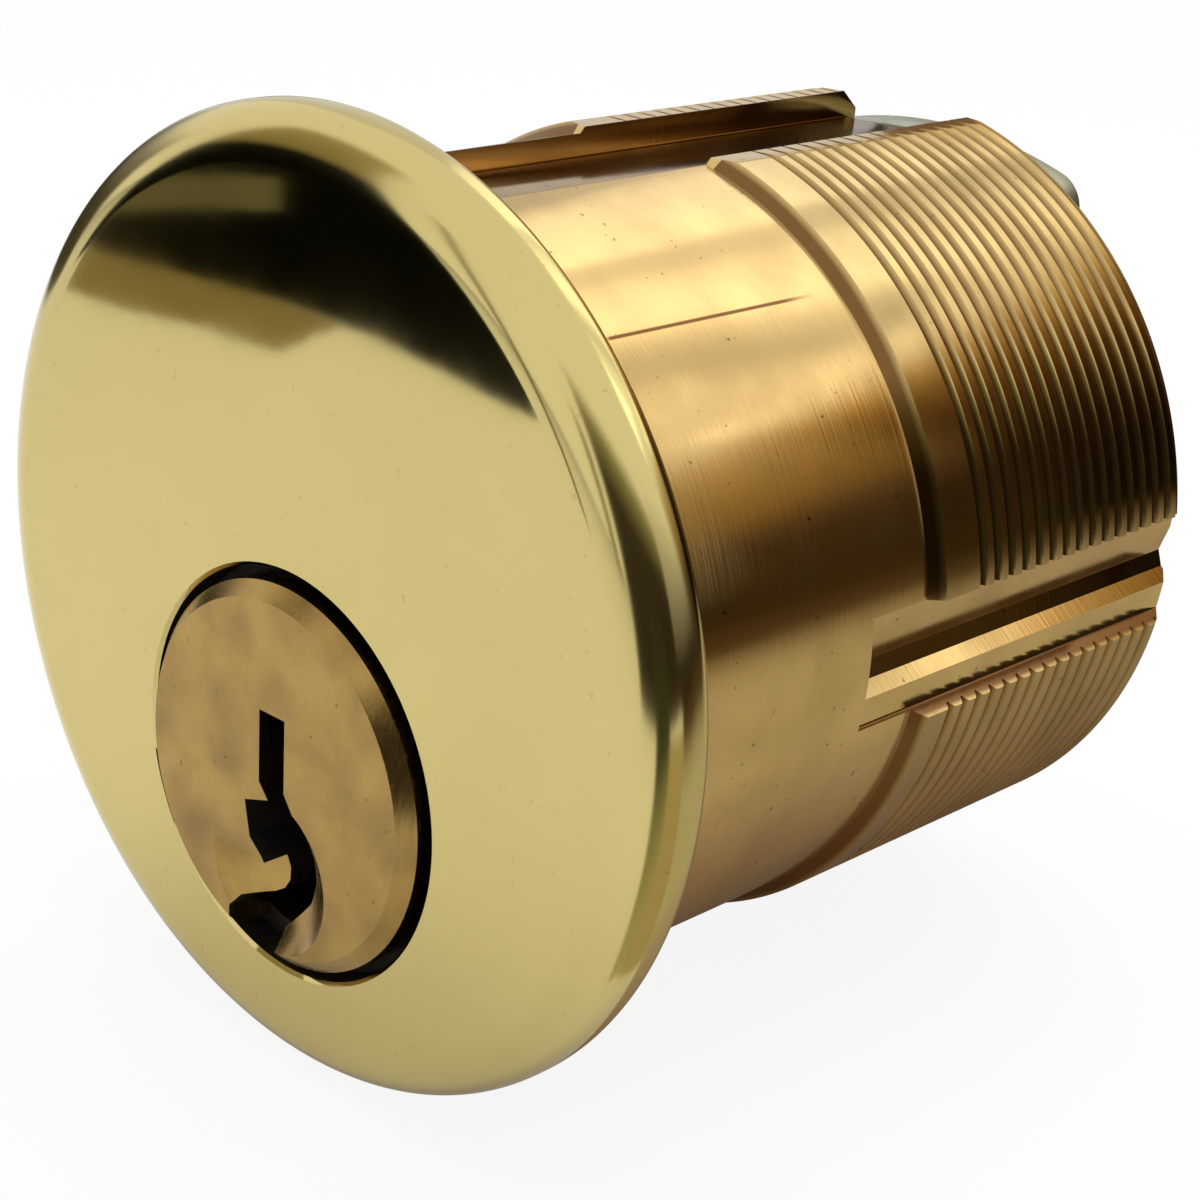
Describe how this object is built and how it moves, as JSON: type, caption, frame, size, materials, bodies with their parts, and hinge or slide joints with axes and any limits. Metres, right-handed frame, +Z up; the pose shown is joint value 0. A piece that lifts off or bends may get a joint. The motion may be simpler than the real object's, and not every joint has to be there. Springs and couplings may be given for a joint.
{
  "type": "mortise cylinder",
  "caption": "Threaded brass mortise cylinder with a round head, an offset keyed plug on sprung pin stacks, side set-screw grooves and a rear cam.",
  "frame": {"origin": "on the body's own axis, in the plane of the head's back, where the head seats", "axes": "+X right as seen from the front, +Y from the face to the rear along the body's axis, +Z up towards the pin chambers"},
  "size_m": [0.0333, 0.0348, 0.0332],
  "materials": {
    "polished_brass": "polished head, raw turned shank and thread",
    "turned_brass": "raw",
    "plug_brass": "brushed",
    "pin_brass": "turned",
    "zinc": "dull grey metal",
    "screw_steel": "plated",
    "spring_steel": "bright wire"
  },
  "bodies": {
    "cylinder": {"cylinder_body": "polished_brass", "spring_cover": "turned_brass", "pin_spring_1": "spring_steel", "pin_spring_2": "spring_steel", "pin_spring_3": "spring_steel", "pin_spring_4": "spring_steel", "pin_spring_5": "spring_steel", "pin_spring_6": "spring_steel"},
    "plug": {"plug": "plug_brass", "cam": "zinc", "cam_screw_left": "screw_steel", "cam_screw_right": "screw_steel"},
    "key_pin_1": {"key_pin_1": "pin_brass"},
    "driver_pin_1": {"driver_pin_1": "pin_brass"},
    "key_pin_2": {"key_pin_2": "pin_brass"},
    "driver_pin_2": {"driver_pin_2": "pin_brass"},
    "key_pin_3": {"key_pin_3": "pin_brass"},
    "driver_pin_3": {"driver_pin_3": "pin_brass"},
    "key_pin_4": {"key_pin_4": "pin_brass"},
    "driver_pin_4": {"driver_pin_4": "pin_brass"},
    "key_pin_5": {"key_pin_5": "pin_brass"},
    "driver_pin_5": {"driver_pin_5": "pin_brass"},
    "key_pin_6": {"key_pin_6": "pin_brass"},
    "driver_pin_6": {"driver_pin_6": "pin_brass"}
  },
  "joints": [
    {"name": "plug_turn", "type": "hinge", "parent": "cylinder", "child": "plug", "pos_m": [0, 0, -0.0056], "axis": [0, 1, 0], "continuous": true},
    {"name": "key_pin_1_drop", "type": "slide", "parent": "plug", "child": "key_pin_1", "axis": [0, 0, 1], "range_m": [-0.00293, 0]},
    {"name": "driver_pin_1_lift", "type": "slide", "parent": "cylinder", "child": "driver_pin_1", "axis": [0, 0, 1], "range_m": [0, 0.00117], "stiffness_N_per_m": 200, "springref_m": -0.003, "deforming": ["pin_spring_1"]},
    {"name": "key_pin_2_drop", "type": "slide", "parent": "plug", "child": "key_pin_2", "axis": [0, 0, 1], "range_m": [-0.00173, 0]},
    {"name": "driver_pin_2_lift", "type": "slide", "parent": "cylinder", "child": "driver_pin_2", "axis": [0, 0, 1], "range_m": [0, 0.00237], "stiffness_N_per_m": 200, "springref_m": -0.003, "deforming": ["pin_spring_2"]},
    {"name": "key_pin_3_drop", "type": "slide", "parent": "plug", "child": "key_pin_3", "axis": [0, 0, 1], "range_m": [-0.00323, 0]},
    {"name": "driver_pin_3_lift", "type": "slide", "parent": "cylinder", "child": "driver_pin_3", "axis": [0, 0, 1], "range_m": [0, 0.00087], "stiffness_N_per_m": 200, "springref_m": -0.003, "deforming": ["pin_spring_3"]},
    {"name": "key_pin_4_drop", "type": "slide", "parent": "plug", "child": "key_pin_4", "axis": [0, 0, 1], "range_m": [-0.00113, 0]},
    {"name": "driver_pin_4_lift", "type": "slide", "parent": "cylinder", "child": "driver_pin_4", "axis": [0, 0, 1], "range_m": [0, 0.00297], "stiffness_N_per_m": 200, "springref_m": -0.003, "deforming": ["pin_spring_4"]},
    {"name": "key_pin_5_drop", "type": "slide", "parent": "plug", "child": "key_pin_5", "axis": [0, 0, 1], "range_m": [-0.00233, 0]},
    {"name": "driver_pin_5_lift", "type": "slide", "parent": "cylinder", "child": "driver_pin_5", "axis": [0, 0, 1], "range_m": [0, 0.00177], "stiffness_N_per_m": 200, "springref_m": -0.003, "deforming": ["pin_spring_5"]},
    {"name": "key_pin_6_drop", "type": "slide", "parent": "plug", "child": "key_pin_6", "axis": [0, 0, 1], "range_m": [-0.00273, 0]},
    {"name": "driver_pin_6_lift", "type": "slide", "parent": "cylinder", "child": "driver_pin_6", "axis": [0, 0, 1], "range_m": [0, 0.00137], "stiffness_N_per_m": 200, "springref_m": -0.003, "deforming": ["pin_spring_6"]}
  ]
}
